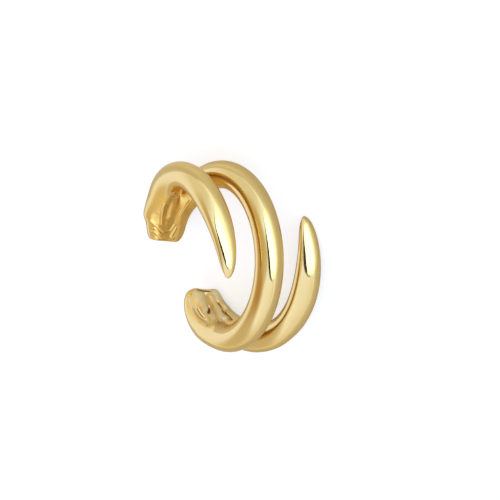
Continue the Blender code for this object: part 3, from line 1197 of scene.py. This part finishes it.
@dataclass(frozen=True)
class ArchedSoftbox:
    """An arched softbox that stands on the floor in front of the cuff, with a dark rim.

    The cuff is at the origin. The arch is squarer than a half round by its squareness, which is 1
    for a half round. The rim is highest at the top and runs out to nothing at both feet, and it
    leans by a share of its height, higher towards -X and lower towards +X.
    """

    azimuth: float = -81.5
    distance: float = 400 * MM
    half_width: float = 375 * MM
    height: float = 318 * MM
    rim: float = 185 * MM
    squareness: float = 1.35
    rim_run_out: float = 3.0
    rim_lean: float = 0.25
    steps: int = 96

    def arch(self, extra: float) -> list[Vector]:
        """The points of the arch that stands on the floor, taller by some extra.

        Args:
            extra: how much taller it is at the top.

        Returns:
            The points, from one foot to the other.
        """
        back = direction(self.azimuth, 0.0)
        across = Vector((-back.y, back.x, 0.0))
        points = []
        for step in range(self.steps + 1):
            turn = math.pi * step / self.steps
            rise = max(math.sin(turn), 0.0) ** (1 / self.squareness)
            side = math.copysign(abs(math.cos(turn)) ** (1 / self.squareness), math.cos(turn))
            taller = extra * rise ** self.rim_run_out * (1 - self.rim_lean * side)
            flat = across * (self.half_width * side)
            up = Vector((0, 0, self.height * rise + taller))
            points.append(back * self.distance + flat + up)
        return points

    def sheet(self, name: str, points: list[Vector]) -> bpy.types.Object:
        """A flat sheet between two rows of points, which the camera doesn't see.

        Args:
            name: the sheet's name.
            points: the points of one row and then of the other.

        Returns:
            The sheet.
        """
        count = self.steps + 1
        faces = [(step, step + 1, count + step + 1, count + step) for step in range(self.steps)]
        mesh = bpy.data.meshes.new(name)
        mesh.from_pydata(points, [], faces)
        sheet = bpy.data.objects.new(name, mesh)
        bpy.context.scene.collection.objects.link(sheet)
        sheet.visible_camera = False
        return sheet

    def build_cloth(self) -> bpy.types.Object:
        """Builds the lit cloth, as upright strips.

        Returns:
            The cloth.
        """
        inner = self.arch(0.0)
        feet = [Vector((point.x, point.y, 0.0)) for point in inner]
        cloth = self.sheet("softbox", inner + feet)
        middle = direction(self.azimuth, 0.0) * self.distance
        shares = [
            (Vector((vert.co.x, vert.co.y, 0.0)) - middle).length / self.half_width
            for vert in cloth.data.vertices
        ]
        spots = cloth.data.attributes.new("cloth_place", "FLOAT", "POINT")
        spots.data.foreach_set("value", shares)
        cloth.data.materials.append(GlowingCloth().material())
        return cloth

    def build_rim(self) -> bpy.types.Object:
        """Builds the dark rim.

        Returns:
            The rim.
        """
        rim = self.sheet("softbox_rim", self.arch(0.0) + self.arch(self.rim))
        rim.data.materials.append(DarkVelvet().material())
        return rim


@dataclass(frozen=True)
class Patch:
    """A soft patch of the light tent, of its own colour at the middle and fading outwards.

    Its place and its spread are in degrees.
    """

    azimuth: float
    elevation: float
    spread: float
    colour: Colour


@dataclass(frozen=True)
class Camera:
    """The camera of the photograph, turned about its own axis as the cuff lies on its side."""

    azimuth: float = -80.363
    elevation: float = 43.981
    roll: float = -115.6
    distance: float = 200 * MM
    lens: float = 215.0
    shift: tuple[float, float] = (0.0514, 0.0127)
    near_clip: float = 10 * MM

    def build(self, target: Vector) -> bpy.types.Object:
        """Builds the camera, aimed at a point before its shift.

        Args:
            target: the point.

        Returns:
            The camera.
        """
        data = bpy.data.cameras.new("camera")
        data.lens = self.lens
        data.shift_x, data.shift_y = self.shift
        data.clip_start = self.near_clip
        camera = bpy.data.objects.new("camera", data)
        bpy.context.scene.collection.objects.link(camera)
        back = direction(self.azimuth, self.elevation)
        turn = back.to_track_quat("Z", "Y").to_matrix().to_4x4()
        roll = Matrix.Rotation(math.radians(self.roll), 4, "Z")
        camera.matrix_world = Matrix.Translation(target + back * self.distance) @ turn @ roll
        bpy.context.scene.camera = camera
        return camera


@dataclass
class Studio:
    """The floor, the light tent and the softbox.

    The floor is two sheets, a small gap apart. The camera sees the upper one, and the gold
    reflects the lower one.
    """

    floor_size: float = 3.0
    floor_gap: float = 0.01 * MM
    seen_floor: Acrylic = Acrylic("floor", colour=(0.44, 0.41, 0.35, 1.0))
    reflected_floor: Acrylic = Acrylic(
        "floor_below",
        colour=(0.64, 0.59, 0.49, 1.0),
        glow=BLACK,
        far_glow=(0.55, 0.75, 1.20, 1.0),
        spot_glow=(0.26, 0.30, 0.42, 1.0),
    )
    tent: Colour = (1.06, 1.10, 1.20, 1.0)
    patches: tuple[Patch, ...] = (
        Patch(-150, 52, 65, (1.25, 1.50, 2.50, 1.0)),
        Patch(150, 60, 40, (1.34, 1.60, 2.60, 1.0)),
        Patch(-65, 15, 75, (1.37, 1.80, 3.30, 1.0)),
        Patch(5, 20, 45, (1.04, 1.18, 1.60, 1.0)),
        Patch(75, -3, 44, (1.26, 1.48, 2.50, 1.0)),
        Patch(80, 64, 46, (0.64, 0.46, 0.26, 1.0)),
        Patch(-45, 70, 30, (0.84, 0.86, 0.88, 1.0)),
        Patch(15, 57, 32, (0.80, 0.75, 0.60, 1.0)),
        Patch(125, 33, 36, (0.82, 0.82, 0.88, 1.0)),
    )
    softbox: ArchedSoftbox = ArchedSoftbox()

    def build_sheet(self, finish: Acrylic, depth: float) -> bpy.types.Object:
        """Builds a wide flat sheet at some depth under the cuff.

        Args:
            finish: the sheet's acrylic, which also names it.
            depth: how far under.

        Returns:
            The sheet.
        """
        half = 0.5 * self.floor_size
        mesh = bpy.data.meshes.new(finish.name)
        corners = ((-half, -half), (half, -half), (half, half), (-half, half))
        mesh.from_pydata([(*corner, -depth) for corner in corners], [], [(0, 1, 2, 3)])
        mesh.materials.append(finish.material())
        sheet = bpy.data.objects.new(finish.name, mesh)
        bpy.context.scene.collection.objects.link(sheet)
        return sheet

    def build_floor(self) -> list[bpy.types.Object]:
        """Builds the floor that the cuff lies on.

        Returns:
            The sheet that is seen, and the one under it that the gold reflects.
        """
        seen = self.build_sheet(self.seen_floor, 0.0)
        seen.visible_glossy = False
        seen.visible_diffuse = False
        seen.visible_shadow = False
        reflected = self.build_sheet(self.reflected_floor, self.floor_gap)
        reflected.visible_camera = False
        return [seen, reflected]

    def build_tent(self) -> bpy.types.World:
        """Builds the light tent all round, even but for its soft patches.

        Returns:
            The world.
        """
        world = bpy.data.worlds.new("tent")
        world.use_nodes = True
        graph = Graph(world.node_tree)
        way = graph.node("ShaderNodeTexCoord", {}, {}).outputs["Generated"]
        colour = self.tent
        for patch in self.patches:
            facing = graph.dot(way, direction(patch.azimuth, patch.elevation))
            share = facing.ramped(math.cos(math.radians(patch.spread)), 1.0)
            colour = graph.blend(share, colour, patch.colour)
        graph.feed(world.node_tree.nodes["Background"].inputs["Color"], colour)
        bpy.context.scene.world = world
        return world


def main() -> None:
    """Builds the cuff, the studio and the camera."""
    logging.basicConfig(level=logging.INFO, format="%(message)s")
    builder = Cuff()
    cuff, place = builder.build()
    builder.dress(cuff, PolishedGold())
    log.info("%s: %d faces", cuff.name, len(cuff.data.polygons))
    studio = Studio()
    for sheet in studio.build_floor():
        log.info("%s: %.1f m", sheet.name, studio.floor_size)
    log.info("%s: %d patches", studio.build_tent().name, len(studio.patches))
    for sheet in (studio.softbox.build_cloth(), studio.softbox.build_rim()):
        log.info("%s: %d faces", sheet.name, len(sheet.data.polygons))
    ring_centre = place @ Vector((0, 0, 0))
    camera = Camera().build(ring_centre)
    log.info("%s: at %s", camera.name, [round(part, 3) for part in camera.location])
    bpy.context.scene.view_settings.view_transform = "Standard"


if __name__ == "__main__":
    main()
